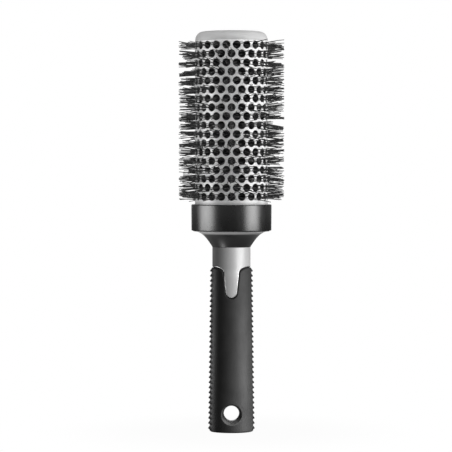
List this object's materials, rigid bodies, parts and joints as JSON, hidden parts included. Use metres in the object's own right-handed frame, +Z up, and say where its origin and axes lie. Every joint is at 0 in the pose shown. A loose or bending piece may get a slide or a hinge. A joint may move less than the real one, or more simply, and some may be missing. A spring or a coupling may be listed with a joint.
{
  "type": "round barrel brush",
  "caption": "Round vented hair brush: perforated barrel with nylon bristles, end cap, collar and concave shoulder, on a ribbed rubber grip over a plastic core, with a hanging hole.",
  "frame": {"origin": "on the axis of the brush, in the plane of the handle's flat end", "axes": "+Z up the handle and the barrel to the end cap, -Y the front, where the light tongue shows between the grip's two lobes, +X to the right in the picture"},
  "size_m": [0.0626, 0.0626, 0.236],
  "materials": {
    "end_cap": "light grey, fine satin",
    "barrel": "grey ceramic coat, satin",
    "bristle": "black nylon, semi-matte",
    "stem": "drawn wire",
    "base_plug": "moulded, matte",
    "gloss_black": "polished black",
    "handle_core": "silver, satin to semi-gloss",
    "grip": "black soft-touch, matte"
  },
  "bodies": {
    "root": {"end_cap": "end_cap", "barrel": "barrel", "bristles_1": "bristle", "bristles_2": "bristle", "bristles_3": "bristle", "stem_wire_1": "stem", "stem_wire_2": "stem", "base_plug": "base_plug", "collar": "gloss_black", "shoulder": "gloss_black", "handle_core": "handle_core", "grip": "grip"}
  },
  "joints": []
}
